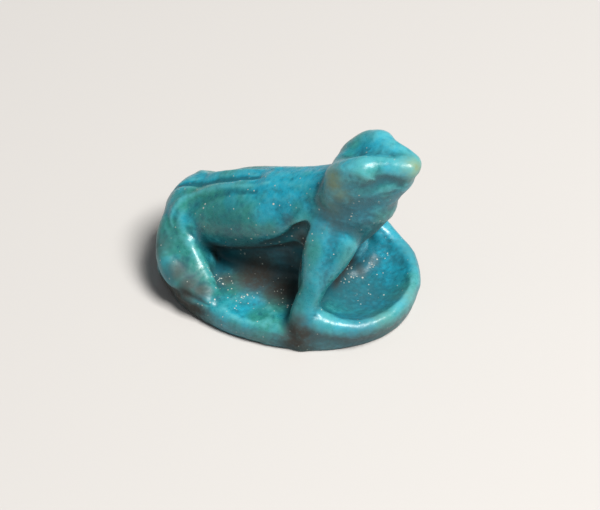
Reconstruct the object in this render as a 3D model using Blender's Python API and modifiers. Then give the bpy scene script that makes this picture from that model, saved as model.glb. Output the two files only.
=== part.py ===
"""Frog scaraboid: a tiny moulded faience frog crouching on an oval plate, made in one piece.

Run with: blender --background --python part.py
Metres, +Z up. The frog looks along +X, its right side faces -Y, and the origin is the middle
of the plate's flat underside.
"""

import math

import bmesh
import bpy
from mathutils import Euler, Matrix, Vector

MM = 0.001

# The oval plate that the frog sits on
PLATE_LENGTH = 7.0 * MM
PLATE_WIDTH = 5.4 * MM
PLATE_THICKNESS = 0.7 * MM
PLATE_TOP_ROUNDING = 0.42 * MM
PLATE_DRAFT = 0.06 * MM
PLATE_REAR_BLUNTNESS = 2.3

# The frog, from the plate's top to the top of its snout
FROG_HEIGHT = 4.9 * MM

# The hole for the string, drilled lengthwise under the belly, and its widened mouth at the chest
STRING_HOLE_DIAMETER = 0.6 * MM
STRING_HOLE_MOUTH = 0.8 * MM
STRING_HOLE_MOUTH_ALONG = 0.4
STRING_HOLE_ABOVE_PLATE = 0.3 * MM

# Fineness of the surface
GRAIN = 0.075 * MM
SOFTENING_ROUNDS = 3
HEAD_SOFTENING_ROUNDS = 14
FACES_WANTED = 9200
PLATE_SIDES = 128
HOLE_SIDES = 32


def at(along, across, up):
    """A point of the frog: shares of the plate's half length and half width, and of the frog's height."""
    return Vector(
        (
            along * PLATE_LENGTH / 2,
            across * PLATE_WIDTH / 2,
            PLATE_THICKNESS + up * FROG_HEIGHT,
        )
    )


def clear_scene():
    for obj in list(bpy.data.objects):
        bpy.data.objects.remove(obj)


def new_collection(name):
    collection = bpy.data.collections.new(name)
    bpy.context.scene.collection.children.link(collection)
    return collection


def move_to(obj, collection):
    for old in list(obj.users_collection):
        old.objects.unlink(obj)
    collection.objects.link(obj)


def lump(centre, reach, pitch=0.0, roll=0.0):
    """An ellipsoid of clay. reach is its half sizes as shares, as in at(); pitch lifts its front."""
    bpy.ops.mesh.primitive_uv_sphere_add(segments=48, ring_count=24, radius=1.0)
    obj = bpy.context.active_object
    size = at(*reach) - Vector((0, 0, PLATE_THICKNESS))
    turn = Euler((math.radians(roll), math.radians(-pitch), 0.0)).to_matrix().to_4x4()
    obj.data.transform(Matrix.Translation(at(*centre)) @ turn @ Matrix.Diagonal((*size, 1)))
    return obj


def smooth_route(points, steps=8):
    """Points and radii along a Catmull-Rom curve through the given (along, across, up, radius) rows."""
    rows = [Vector((*at(*row[:3]), row[3] * FROG_HEIGHT)) for row in points]
    rows = [2 * rows[0] - rows[1], *rows, 2 * rows[-1] - rows[-2]]
    route = []
    for before, start, end, after in zip(rows, rows[1:], rows[2:], rows[3:]):
        for step in range(steps):
            t = step / steps
            route.append(
                0.5
                * (
                    2 * start
                    + (end - before) * t
                    + (2 * before - 5 * start + 4 * end - after) * t**2
                    + (3 * start - before - 3 * end + after) * t**3
                )
            )
    route.append(rows[-2])
    return route


def limb(points):
    """A rounded roll of clay whose thickness follows the rows' radii."""
    route = smooth_route(points)
    curve = bpy.data.curves.new("limb", "CURVE")
    curve.dimensions = "3D"
    curve.bevel_depth = 1.0
    curve.bevel_resolution = 5
    curve.use_fill_caps = True
    spline = curve.splines.new("POLY")
    spline.points.add(len(route) - 1)
    for point, row in zip(spline.points, route):
        point.co = (*row.xyz, 1.0)
        point.radius = row.w
    tube = bpy.data.objects.new("limb", curve)
    bpy.context.scene.collection.objects.link(tube)
    graph = bpy.context.evaluated_depsgraph_get()
    mesh = bpy.data.meshes.new_from_object(tube.evaluated_get(graph))
    bpy.data.objects.remove(tube)
    shape = bmesh.new()
    shape.from_mesh(mesh)
    bmesh.ops.remove_doubles(shape, verts=shape.verts, dist=GRAIN / 1000)
    for end in (route[0], route[-1]):
        ball = Matrix.Translation(end.xyz) @ Matrix.Scale(end.w, 4)
        bmesh.ops.create_uvsphere(shape, u_segments=24, v_segments=12, radius=1.0, matrix=ball)
    shape.to_mesh(mesh)
    shape.free()
    obj = bpy.data.objects.new("limb", mesh)
    bpy.context.scene.collection.objects.link(obj)
    return obj


def applied(obj):
    """The object with its modifiers made real."""
    graph = bpy.context.evaluated_depsgraph_get()
    mesh = bpy.data.meshes.new_from_object(obj.evaluated_get(graph))
    obj.modifiers.clear()
    obj.data = mesh
    return obj


def plate():
    """The oval plate, a little deeper than its cut; its edge is rounded at the top and draws in below."""
    sunk = GRAIN * 3
    height = PLATE_THICKNESS + sunk
    inset = PLATE_DRAFT * height / PLATE_THICKNESS
    bpy.ops.mesh.primitive_cylinder_add(
        vertices=PLATE_SIDES, radius=1.0, depth=height, location=(0, 0, PLATE_THICKNESS - height / 2)
    )
    obj = bpy.context.active_object
    bpy.ops.object.transform_apply(location=True)
    for vertex in obj.data.vertices:
        drawn_in = inset if vertex.co.z < 0 else 0.0
        power = 2 / PLATE_REAR_BLUNTNESS if vertex.co.x < 0 else 1.0
        vertex.co.x = math.copysign(abs(vertex.co.x) ** power, vertex.co.x) * (PLATE_LENGTH / 2 - drawn_in)
        vertex.co.y = math.copysign(abs(vertex.co.y) ** power, vertex.co.y) * (PLATE_WIDTH / 2 - drawn_in)
    bevel = obj.modifiers.new("rounded edge", "BEVEL")
    bevel.width = PLATE_TOP_ROUNDING
    bevel.segments = 5
    bevel.limit_method = "ANGLE"
    return applied(obj)


def head():
    pieces = [
        lump((0.552, 0, 0.729), (0.231, 0.365, 0.165)),
        lump((0.724, 0, 0.867), (0.201, 0.221, 0.08), pitch=8),
        lump((0.754, 0, 0.803), (0.231, 0.221, 0.138), pitch=30),
        limb(
            [
                (0.448, 0, 0.548, 0.197),
                (0.582, 0, 0.638, 0.181),
                (0.709, 0, 0.718, 0.144),
                (0.836, 0, 0.803, 0.101),
            ]
        ),
    ]
    for side in (-1, 1):
        eye = limb(
            [
                (0.448, 0.192 * side, 0.787, 0.08),
                (0.545, 0.212 * side, 0.851, 0.085),
                (0.657, 0.202 * side, 0.899, 0.085),
            ]
        )
        brow = limb(
            [
                (0.657, 0.183 * side, 0.904, 0.074),
                (0.761, 0.135 * side, 0.92, 0.061),
                (0.873, 0.087 * side, 0.92, 0.059),
                (0.955, 0.038 * side, 0.91, 0.064),
            ]
        )
        cheek = limb(
            [
                (0.433, 0.192 * side, 0.654, 0.096),
                (0.493, 0.212 * side, 0.75, 0.09),
                (0.597, 0.212 * side, 0.793, 0.085),
            ]
        )
        snout = limb(
            [
                (0.612, 0.173 * side, 0.771, 0.101),
                (0.776, 0.106 * side, 0.809, 0.08),
                (0.91, 0.038 * side, 0.824, 0.064),
            ]
        )
        pieces += [eye, brow, cheek, snout]
    return pieces


def trunk():
    """Barrel, neck and chest; the one lump off the middle narrows the string hole's mouth on its left."""
    return [
        lump((-0.299, 0, 0.303), (0.776, 0.462, 0.202), pitch=22),
        lump((-0.261, 0, 0.069), (0.634, 0.26, 0.213)),
        lump((-0.724, 0, 0.165), (0.284, 0.481, 0.191)),
        lump((0.269, 0, 0.441), (0.284, 0.452, 0.186), pitch=20),
        lump((0.373, 0, 0.303), (0.187, 0.462, 0.202)),
        lump((0.299, 0, 0.101), (0.134, 0.577, 0.309)),
        lump((0.41, 0.327, 0.144), (0.112, 0.192, 0.309)),
        limb(
            [
                (-0.037, 0, 0.383, 0.213),
                (0.254, 0, 0.479, 0.202),
                (0.493, 0, 0.585, 0.191),
                (0.642, 0, 0.66, 0.16),
            ]
        ),
        limb(
            [
                (0.187, 0, 0.096, 0.138),
                (0.284, 0, 0.271, 0.144),
                (0.463, 0, 0.431, 0.165),
                (0.642, 0, 0.612, 0.157),
            ]
        ),
    ]


def arm(side):
    """From the shoulder down past the elbow at the plate's edge, with the fold of its front edge."""
    back = limb(
        [
            (0.366, 0.269 * side, 0.452, 0.112),
            (0.388, 0.462 * side, 0.324, 0.09),
            (0.396, 0.596 * side, 0.197, 0.074),
            (0.381, 0.692 * side, 0.112, 0.077),
            (0.373, 0.76 * side, 0.016, 0.082),
            (0.373, 0.779 * side, -0.101, 0.08),
        ]
    )
    front = limb(
        [
            (0.507, 0.25 * side, 0.399, 0.101),
            (0.47, 0.404 * side, 0.298, 0.09),
            (0.425, 0.548 * side, 0.202, 0.064),
            (0.41, 0.663 * side, 0.128, 0.059),
            (0.418, 0.74 * side, 0.059, 0.059),
        ]
    )
    return [back, front]


def hand(side):
    """The hand that curls along the plate's front edge and meets the other one at the tip."""
    return limb(
        [
            (0.373, 0.76 * side, 0.005, 0.082),
            (0.47, 0.721 * side, 0.021, 0.08),
            (0.597, 0.663 * side, -0.005, 0.072),
            (0.754, 0.548 * side, -0.027, 0.066),
            (0.888, 0.288 * side, -0.032, 0.064),
            (0.933, 0, -0.032, 0.064),
        ]
    )


def hind_leg(side):
    """The folded leg that wraps the rump: a broad outer band, a faint fold and a ridge above the foot."""
    outer = limb(
        [
            (-0.821, 0.096 * side, 0.213, 0.072),
            (-0.858, 0.279 * side, 0.165, 0.082),
            (-0.821, 0.49 * side, 0.09, 0.082),
            (-0.709, 0.673 * side, 0.027, 0.082),
            (-0.537, 0.788 * side, -0.005, 0.072),
            (-0.388, 0.827 * side, -0.021, 0.059),
        ]
    )
    fold = limb(
        [
            (-0.836, 0.269 * side, 0.181, 0.082),
            (-0.813, 0.385 * side, 0.144, 0.082),
            (-0.731, 0.519 * side, 0.09, 0.072),
            (-0.597, 0.635 * side, 0.037, 0.064),
            (-0.463, 0.731 * side, 0, 0.059),
        ]
    )
    ridge = limb(
        [
            (-0.776, 0.231 * side, 0.229, 0.059),
            (-0.791, 0.327 * side, 0.181, 0.064),
            (-0.724, 0.413 * side, 0.16, 0.066),
            (-0.642, 0.49 * side, 0.117, 0.059),
            (-0.552, 0.567 * side, 0.064, 0.056),
            (-0.463, 0.644 * side, 0.027, 0.053),
            (-0.388, 0.712 * side, -0.011, 0.048),
        ]
    )
    filling = lump((-0.687, 0.462 * side, -0.016), (0.239, 0.288, 0.17))
    foot = lump((-0.448, 0.74 * side, 0), (0.134, 0.115, 0.064))
    return [outer, fold, ridge, filling, foot]


def dish():
    """The hollow of the plate between the hands."""
    return lump((0.627, 0, 0.144), (0.381, 0.721, 0.207))


def flank_hollows():
    """The clefts under the belly, between the arm and the hind foot of each side, and up along the arm."""
    low = [
        lump((-0.067, 0.692 * side, 0.106), (0.343, 0.442, 0.112), roll=-15 * side)
        for side in (-1, 1)
    ]
    high = [
        limb(
            [
                (-0.119, 0.577 * side, 0.165, 0.117),
                (0.045, 0.529 * side, 0.245, 0.117),
                (0.149, 0.462 * side, 0.335, 0.085),
                (0.216, 0.413 * side, 0.426, 0.059),
                (0.269, 0.404 * side, 0.5, 0.027),
            ]
        )
        for side in (-1, 1)
    ]
    return low + high


def furrow():
    """The furrow along the spine."""
    return limb(
        [
            (-1.045, 0, 0.186, 0.027),
            (-0.836, 0, 0.378, 0.027),
            (-0.373, 0, 0.532, 0.027),
            (0.037, 0, 0.66, 0.011),
        ]
    )


def one_mesh(name, pieces, collection):
    """The pieces gathered in one object, still as separate shells."""
    shape = bmesh.new()
    for piece in pieces:
        shape.from_mesh(piece.data)
        bpy.data.objects.remove(piece)
    mesh = bpy.data.meshes.new(name)
    shape.to_mesh(mesh)
    shape.free()
    obj = bpy.data.objects.new(name, mesh)
    collection.objects.link(obj)
    return obj


def knead(obj, rounds):
    """Melts overlapping shells into one even skin and softens their joins."""
    remesh = obj.modifiers.new("one skin", "REMESH")
    remesh.mode = "VOXEL"
    remesh.voxel_size = GRAIN
    smooth = obj.modifiers.new("soft joins", "SMOOTH")
    smooth.factor = 0.5
    smooth.iterations = round(rounds)


def cut(obj, cutter, name):
    boolean = obj.modifiers.new(name, "BOOLEAN")
    boolean.operation = "DIFFERENCE"
    boolean.solver = "EXACT"
    boolean.object = cutter
    cutter.hide_render = True
    cutter.display_type = "WIRE"


def underside_cutter(collection):
    """A slab whose top is the plate's flat underside."""
    size = 2 * PLATE_LENGTH
    bpy.ops.mesh.primitive_cube_add(size=size, location=(0, 0, -size / 2))
    obj = bpy.context.active_object
    obj.name = "underside_cutter"
    move_to(obj, collection)
    return obj


def string_hole_mouth():
    """The hole's worn and widened end, low on the chest between the arms."""
    height = PLATE_THICKNESS + STRING_HOLE_ABOVE_PLATE + STRING_HOLE_DIAMETER / 2
    bpy.ops.mesh.primitive_uv_sphere_add(
        segments=32,
        ring_count=16,
        radius=STRING_HOLE_MOUTH / 2,
        location=(STRING_HOLE_MOUTH_ALONG * PLATE_LENGTH / 2, 0, height),
    )
    obj = bpy.context.active_object
    bpy.ops.object.transform_apply(location=True)
    return obj


def string_hole_cutter(collection):
    height = PLATE_THICKNESS + STRING_HOLE_ABOVE_PLATE + STRING_HOLE_DIAMETER / 2
    bpy.ops.mesh.primitive_cylinder_add(
        vertices=HOLE_SIDES,
        radius=STRING_HOLE_DIAMETER / 2,
        depth=2 * PLATE_LENGTH,
        location=(0, 0, height),
        rotation=(0, math.pi / 2, 0),
    )
    obj = bpy.context.active_object
    obj.name = "string_hole_cutter"
    move_to(obj, collection)
    return obj


def glazed_faience():
    material = bpy.data.materials.new("glazed faience")
    material.use_nodes = True
    shader = material.node_tree.nodes["Principled BSDF"]
    shader.inputs["Base Color"].default_value = (0.02, 0.21, 0.27, 1)
    shader.inputs["Roughness"].default_value = 0.35
    shader.inputs["Metallic"].default_value = 0.0
    return material


def build():
    clear_scene()
    parts = new_collection("frog scaraboid")
    cutters = new_collection("cutters")
    base = plate()
    ground = one_mesh("ground", [base, hand(-1), hand(1)], parts)
    knead(ground, rounds=1)
    pressed_dish = one_mesh("dish_cutter", [dish()], cutters)
    cut(ground, pressed_dish, "dish")
    applied(ground)
    skull = one_mesh("skull", head(), parts)
    knead(skull, rounds=HEAD_SOFTENING_ROUNDS)
    clay = [ground, applied(skull), *trunk()]
    for side in (-1, 1):
        clay += arm(side) + hind_leg(side)
    frog = one_mesh("frog_scaraboid", clay, parts)
    knead(frog, rounds=SOFTENING_ROUNDS)
    pressed = one_mesh("hollow_cutter", [*flank_hollows(), furrow(), string_hole_mouth()], cutters)
    knead(pressed, rounds=1)
    cut(frog, pressed, "hollows")
    knead(frog, rounds=SOFTENING_ROUNDS)
    thin = frog.modifiers.new("fewer faces", "DECIMATE")
    graph = bpy.context.evaluated_depsgraph_get()
    triangles = len(frog.evaluated_get(graph).data.polygons) * 2
    thin.ratio = min(1.0, FACES_WANTED / triangles)
    cut(frog, underside_cutter(cutters), "flat underside")
    cut(frog, string_hole_cutter(cutters), "string hole")
    frog.data.materials.append(glazed_faience())
    return frog


build()
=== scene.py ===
"""Looks of the frog scaraboid: the tiny faience frog with its worn glaze, and a small stage.

Laid out as a Blender add-on and run as a script. Metres, +Z up, the frog looks along +X.
"""

import math

import bpy
import numpy as np
from bpy.props import FloatProperty, FloatVectorProperty, IntProperty, PointerProperty
from bpy.types import Operator, Panel, PropertyGroup
from mathutils import Euler, Matrix, Vector


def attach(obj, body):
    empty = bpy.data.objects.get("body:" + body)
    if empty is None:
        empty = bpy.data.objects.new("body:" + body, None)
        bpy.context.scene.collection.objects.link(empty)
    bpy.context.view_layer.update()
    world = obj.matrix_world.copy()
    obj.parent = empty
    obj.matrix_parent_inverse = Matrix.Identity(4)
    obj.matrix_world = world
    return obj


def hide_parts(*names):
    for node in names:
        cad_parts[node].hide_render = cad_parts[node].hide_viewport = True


bl_info = {
    "name": "Frog scaraboid looks",
    "version": (1, 0, 0),
    "blender": (4, 5, 0),
    "location": "3D View > Sidebar > Frog",
    "description": "Models and glazes the faience frog on its oval plate, and sets its stage",
    "category": "Object",
}

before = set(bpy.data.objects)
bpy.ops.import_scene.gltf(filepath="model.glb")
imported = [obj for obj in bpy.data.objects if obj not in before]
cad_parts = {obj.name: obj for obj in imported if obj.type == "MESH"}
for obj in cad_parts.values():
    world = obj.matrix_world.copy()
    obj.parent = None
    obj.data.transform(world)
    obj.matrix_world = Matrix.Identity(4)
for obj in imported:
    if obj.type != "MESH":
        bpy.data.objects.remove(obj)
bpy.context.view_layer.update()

NODE = "frog_scaraboid"
BODY = "root"
MM = 0.001
LENGTH = {"unit": "LENGTH", "precision": 5}

SHARP_ANGLE = math.radians(50)  # edges sharper than this stay crisp
FINENESS = 1000  # a weld or a cut's tolerance is the grain's thousandth part
ROUTE_STEPS = 8  # points between two rows of a route
SETTLING_ROUNDS = 4  # how often a groove's line is evened out on the skin
GROOVE_FALL = 1.6  # how fast a groove, a dent and a patch fade with distance
DENT_FALL = 1.5
PATCH_FALL = 1.4
SKY_LOOKS = 72  # directions from which the sky's light is tried
SKY_TURN = 2.399963  # radians from one look to the next, which spreads them evenly
SKY_CELL = 0.06 * MM  # width of a ray of that light
SKY_SLACK = 0.14 * MM  # how far below the top of its cell a point still counts as lit
SKY_LOWEST = 0.15  # weight of light from the horizon
SENSOR = 36.0  # the camera's sensor width in millimetres


class FrogSizes(PropertyGroup):
    """Sizes of the frog and its plate."""

    plate_length: FloatProperty(
        name="Plate length", description="Length of the oval plate", default=7.0 * MM, **LENGTH
    )
    plate_width: FloatProperty(
        name="Plate width", description="Width of the oval plate", default=5.4 * MM, **LENGTH
    )
    plate_thickness: FloatProperty(
        name="Plate thickness", description="Height of the plate's top", default=0.7 * MM, **LENGTH
    )
    plate_top_rounding: FloatProperty(
        name="Plate edge rounding", description="Rounding of the plate's upper edge",
        default=0.42 * MM, **LENGTH
    )
    plate_draft: FloatProperty(
        name="Plate draft", description="How far the edge draws in at the foot",
        default=0.06 * MM, **LENGTH
    )
    plate_rear_bluntness: FloatProperty(
        name="Rear bluntness", description="2 is an ellipse, more is squarer",
        default=2.3, min=2.0, max=4.0
    )
    frog_height: FloatProperty(
        name="Frog height", description="From the plate's top to the top of the snout",
        default=4.9 * MM, **LENGTH
    )
    string_hole: FloatProperty(
        name="String hole", description="Diameter of the string hole", default=0.6 * MM, **LENGTH
    )
    hole_mouth: FloatProperty(
        name="Mouth of the hole", description="Diameter of the widened end at the chest",
        default=0.8 * MM, **LENGTH
    )
    hole_mouth_along: FloatProperty(
        name="Mouth's place", description="Its centre, as a share of the plate's half length",
        default=0.40
    )
    hole_above_plate: FloatProperty(
        name="Hole above plate", description="From the plate's top to the hole's lowest point",
        default=0.3 * MM, **LENGTH
    )
    clay_grain: FloatProperty(
        name="Clay grain", description="Fineness of the rough shape", default=0.07 * MM, **LENGTH
    )
    head_softening: IntProperty(
        name="Head softening", description="How often the head's joins are stroked smooth",
        default=14, min=0
    )
    skin_grain: FloatProperty(
        name="Skin grain", description="Fineness of the finished skin", default=0.042 * MM, **LENGTH
    )


class FrogGlaze(PropertyGroup):
    """Colours and finish of the glaze."""

    blue: FloatVectorProperty(
        name="Blue", description="Glaze where it is thick and clean", subtype="COLOR",
        default=(0.010, 0.29, 0.41)
    )
    green: FloatVectorProperty(
        name="Green", description="Glaze that has turned green", subtype="COLOR",
        default=(0.024, 0.205, 0.175)
    )
    # Also painted shade: this colour darkens creases, hollows and sides turned from the light.
    deep: FloatVectorProperty(
        name="Deep", description="Darker clouds in the glaze", subtype="COLOR",
        default=(0.008, 0.09, 0.12)
    )
    # Also painted highlight: this colour lightens ridges and the spots where the lamp's highlight
    # falls.
    pale: FloatVectorProperty(
        name="Pale", description="Thin glaze over the pale body", subtype="COLOR",
        default=(0.10, 0.42, 0.46)
    )
    # Dirt and painted shade: this dark colour stands for dirt and also for the shade in recesses,
    # under overhangs and on low walls.
    dirt_and_shade: FloatVectorProperty(
        name="Grime", description="Dirt in the hollows", subtype="COLOR",
        default=(0.042, 0.040, 0.034)
    )
    # Film and painted shade: this blue-grey also darkens low walls, the throat, the shoulders and the
    # dish floor where shade falls.
    film_and_shade: FloatVectorProperty(
        name="Bloom", description="Blue-grey film on the lower parts", subtype="COLOR",
        default=(0.055, 0.10, 0.105)
    )
    olive: FloatVectorProperty(
        name="Olive", description="Body showing where the glaze is rubbed", subtype="COLOR",
        default=(0.20, 0.27, 0.14)
    )
    dust: FloatVectorProperty(
        name="Dust", description="Sand and lime specks", subtype="COLOR", default=(0.42, 0.45, 0.41)
    )
    roughness: FloatProperty(
        name="Roughness", description="Roughness of clean glaze",
        default=0.30, min=0.0, max=1.0, subtype="FACTOR"
    )


class FrogStage(PropertyGroup):
    """Camera, light and floor."""

    turn: FloatProperty(
        name="Turn", description="How far the camera stands round from the frog's right side",
        default=math.radians(25), subtype="ANGLE"
    )
    tilt: FloatProperty(
        name="Tilt", description="How far the camera looks down",
        default=math.radians(42), subtype="ANGLE"
    )
    distance: FloatProperty(
        name="Distance", description="From the camera to the plate", default=0.1, **LENGTH
    )
    pixels_per_mm: FloatProperty(
        name="Scale", description="Pixels to the millimetre at the plate's middle", default=37.9
    )
    plate_across: FloatProperty(
        name="Across", description="Pixel column of the plate's middle", default=290.5
    )
    plate_down: FloatProperty(
        name="Down", description="Pixel row of the plate's middle", default=280.0
    )
    picture_width: IntProperty(
        name="Picture width", description="Pixels across the picture", default=600
    )
    picture_height: IntProperty(
        name="Picture height", description="Pixels down the picture", default=510
    )
    floor_colour: FloatVectorProperty(
        name="Floor", description="Colour of the pale floor", subtype="COLOR",
        default=(0.52, 0.505, 0.49)
    )


# Helpers for modelling


def both_sides(rows):
    """Rows of (along, across, ...) on the left and on the right of the middle."""
    return [(along, side * across, *rest) for along, across, *rest in rows for side in (-1, 1)]


def deselect_all():
    if bpy.context.object and bpy.context.object.mode != "OBJECT":
        bpy.ops.object.mode_set(mode="OBJECT")
    bpy.ops.object.select_all(action="DESELECT")


def pick(*objects):
    """Select these objects alone, the first one active."""
    deselect_all()
    for obj in objects:
        obj.select_set(True)
    bpy.context.view_layer.objects.active = objects[0]


def apply_modifiers(obj):
    pick(obj)
    for name in [modifier.name for modifier in obj.modifiers]:
        bpy.ops.object.modifier_apply(modifier=name)


def join(name, pieces):
    """Several objects made one mesh object."""
    pick(*pieces)
    if len(pieces) > 1:
        bpy.ops.object.join()
    obj = bpy.context.view_layer.objects.active
    obj.name = name
    return obj


def knead(obj, grain, rounds):
    """Melts overlapping shells into one even skin and softens their joins."""
    remesh = obj.modifiers.new("one skin", "REMESH")
    remesh.mode = "VOXEL"
    remesh.voxel_size = grain
    if rounds:
        smooth = obj.modifiers.new("soft joins", "SMOOTH")
        smooth.factor = 0.5
        smooth.iterations = rounds
    apply_modifiers(obj)


def press_out(obj, cutter, name):
    """Takes the cutter's shape out of the object and deletes the cutter."""
    boolean = obj.modifiers.new(name, "BOOLEAN")
    boolean.operation = "DIFFERENCE"
    boolean.solver = "EXACT"
    boolean.object = cutter
    apply_modifiers(obj)
    bpy.data.objects.remove(cutter)


class Clay:
    """Rolls and balls of clay, placed by shares of the plate's half sizes and the frog's height."""

    def __init__(self, sizes):
        self.sizes = sizes

    def at(self, along, across, up):
        """The place in metres."""
        s = self.sizes
        height = s.plate_thickness + up * s.frog_height
        return Vector((along * s.plate_length / 2, across * s.plate_width / 2, height))

    def lump(self, centre, reach, pitch=0.0, roll=0.0):
        """An ellipsoid; reach is its half sizes as shares, and pitch lifts its front."""
        size = self.at(*reach) - Vector((0, 0, self.sizes.plate_thickness))
        deselect_all()
        bpy.ops.mesh.primitive_uv_sphere_add(
            segments=64,
            ring_count=32,
            radius=1.0,
            location=self.at(*centre),
            rotation=Euler((math.radians(roll), math.radians(-pitch), 0.0)),
            scale=size,
        )
        bpy.ops.object.transform_apply(location=True, rotation=True, scale=True)
        return bpy.context.active_object

    def route(self, points):
        """Points and radii along a smooth curve through (along, across, up, radius) rows."""
        rows = [Vector((*self.at(*row[:3]), row[3] * self.sizes.frog_height)) for row in points]
        rows = [2 * rows[0] - rows[1], *rows, 2 * rows[-1] - rows[-2]]
        route = []
        for before, start, end, after in zip(rows, rows[1:], rows[2:], rows[3:]):
            slope = end - before
            bend = 2 * before - 5 * start + 4 * end - after
            twist = 3 * start - before - 3 * end + after
            for step in range(ROUTE_STEPS):
                t = step / ROUTE_STEPS
                route.append(0.5 * (2 * start + slope * t + bend * t**2 + twist * t**3))
        route.append(rows[-2])
        return route

    def limb(self, points):
        """A rounded roll whose thickness follows the rows' radii."""
        route = self.route(points)
        curve = bpy.data.curves.new("limb", "CURVE")
        curve.dimensions = "3D"
        curve.bevel_depth = 1.0
        curve.bevel_resolution = 6
        curve.use_fill_caps = True
        spline = curve.splines.new("POLY")
        spline.points.add(len(route) - 1)
        for point, row in zip(spline.points, route):
            point.co = (*row.xyz, 1.0)
            point.radius = row.w
        tube = bpy.data.objects.new("limb", curve)
        bpy.context.scene.collection.objects.link(tube)
        pick(tube)
        bpy.ops.object.convert(target="MESH")
        tube = bpy.context.active_object
        pieces = [tube]
        for end in (route[0], route[-1]):
            deselect_all()
            bpy.ops.mesh.primitive_uv_sphere_add(
                segments=24, ring_count=12, radius=end.w, location=end.xyz
            )
            bpy.ops.object.transform_apply(location=True)
            pieces.append(bpy.context.active_object)
        limb = join("limb", pieces)
        bpy.ops.object.mode_set(mode="EDIT")
        bpy.ops.mesh.select_all(action="SELECT")
        bpy.ops.mesh.remove_doubles(threshold=self.sizes.clay_grain / FINENESS)
        bpy.ops.object.mode_set(mode="OBJECT")
        return limb


# Frog's own shapes


def plate(clay):
    """The oval plate, deeper than its cut, with a rounded top edge and a side that draws in below."""
    s = clay.sizes
    sunk = s.clay_grain * 3
    height = s.plate_thickness + sunk
    inset = s.plate_draft * height / s.plate_thickness
    deselect_all()
    bpy.ops.mesh.primitive_cylinder_add(
        vertices=192, radius=1.0, depth=height, location=(0, 0, s.plate_thickness - height / 2)
    )
    obj = bpy.context.active_object
    bpy.ops.object.transform_apply(location=True)
    for vertex in obj.data.vertices:
        drawn_in = inset if vertex.co.z < 0 else 0.0
        power = 2 / s.plate_rear_bluntness if vertex.co.x < 0 else 1.0
        along, across = (math.copysign(abs(v) ** power, v) for v in vertex.co.xy)
        vertex.co.x = along * (s.plate_length / 2 - drawn_in)
        vertex.co.y = across * (s.plate_width / 2 - drawn_in)
    bevel = obj.modifiers.new("rounded edge", "BEVEL")
    bevel.width = s.plate_top_rounding
    bevel.segments = 8
    bevel.limit_method = "ANGLE"
    apply_modifiers(obj)
    return obj


def head(clay):
    """Skull, snout and neck, with the eyes, brows and cheeks of both sides."""
    pieces = [
        clay.lump((0.552, 0, 0.729), (0.231, 0.365, 0.165)),
        clay.lump((0.724, 0, 0.867), (0.201, 0.221, 0.08), pitch=8),
        clay.lump((0.754, 0, 0.803), (0.231, 0.221, 0.138), pitch=30),
        clay.limb([
            (0.448, 0, 0.548, 0.197),
            (0.582, 0, 0.638, 0.181),
            (0.709, 0, 0.718, 0.144),
            (0.836, 0, 0.803, 0.101),
        ]),
    ]
    for side in (-1, 1):
        eye = clay.limb([
            (0.448, 0.192 * side, 0.787, 0.08),
            (0.545, 0.212 * side, 0.851, 0.085),
            (0.657, 0.202 * side, 0.899, 0.085),
        ])
        brow = clay.limb([
            (0.657, 0.183 * side, 0.904, 0.074),
            (0.761, 0.135 * side, 0.92, 0.061),
            (0.873, 0.087 * side, 0.92, 0.059),
            (0.955, 0.038 * side, 0.91, 0.064),
        ])
        cheek = clay.limb([
            (0.433, 0.192 * side, 0.654, 0.096),
            (0.493, 0.212 * side, 0.75, 0.09),
            (0.597, 0.212 * side, 0.793, 0.085),
        ])
        snout = clay.limb([
            (0.612, 0.173 * side, 0.771, 0.101),
            (0.776, 0.106 * side, 0.809, 0.08),
            (0.91, 0.038 * side, 0.824, 0.064),
        ])
        pieces += [eye, brow, cheek, snout]
    return pieces


def trunk(clay):
    """Barrel, rump, chest and neck.

    The one lump off the middle narrows the string hole's mouth on the frog's left, and the roll that
    runs across closes the wall beside each arm's foot.
    """
    return [
        clay.lump((-0.299, 0, 0.303), (0.776, 0.462, 0.202), pitch=22),
        clay.lump((-0.261, 0, 0.069), (0.634, 0.26, 0.213)),
        clay.lump((-0.724, 0, 0.165), (0.284, 0.481, 0.191)),
        clay.lump((0.269, 0, 0.441), (0.284, 0.452, 0.186), pitch=20),
        clay.lump((0.373, 0, 0.303), (0.187, 0.462, 0.202)),
        clay.lump((0.299, 0, 0.101), (0.134, 0.577, 0.309)),
        clay.lump((0.41, 0.327, 0.144), (0.112, 0.192, 0.309)),
        clay.limb([
            (0.343, -0.587, 0.059, 0.048),
            (0.343, 0.587, 0.059, 0.048),
        ]),
        clay.limb([
            (-0.037, 0, 0.383, 0.213),
            (0.254, 0, 0.479, 0.202),
            (0.493, 0, 0.585, 0.191),
            (0.642, 0, 0.66, 0.16),
        ]),
        clay.limb([
            (0.187, 0, 0.096, 0.138),
            (0.284, 0, 0.271, 0.144),
            (0.463, 0, 0.431, 0.165),
            (0.642, 0, 0.612, 0.157),
        ]),
    ]


def arm(clay, side):
    """From the shoulder down past the elbow at the plate's edge, with the fold of its front edge."""
    back = clay.limb([
        (0.366, 0.269 * side, 0.452, 0.112),
        (0.388, 0.462 * side, 0.324, 0.09),
        (0.396, 0.596 * side, 0.197, 0.074),
        (0.381, 0.692 * side, 0.112, 0.077),
        (0.373, 0.76 * side, 0.016, 0.082),
        (0.373, 0.779 * side, -0.101, 0.08),
    ])
    front = clay.limb([
        (0.507, 0.25 * side, 0.399, 0.101),
        (0.47, 0.404 * side, 0.298, 0.09),
        (0.425, 0.548 * side, 0.202, 0.064),
        (0.41, 0.663 * side, 0.128, 0.059),
        (0.418, 0.74 * side, 0.059, 0.059),
    ])
    return [back, front]


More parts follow.
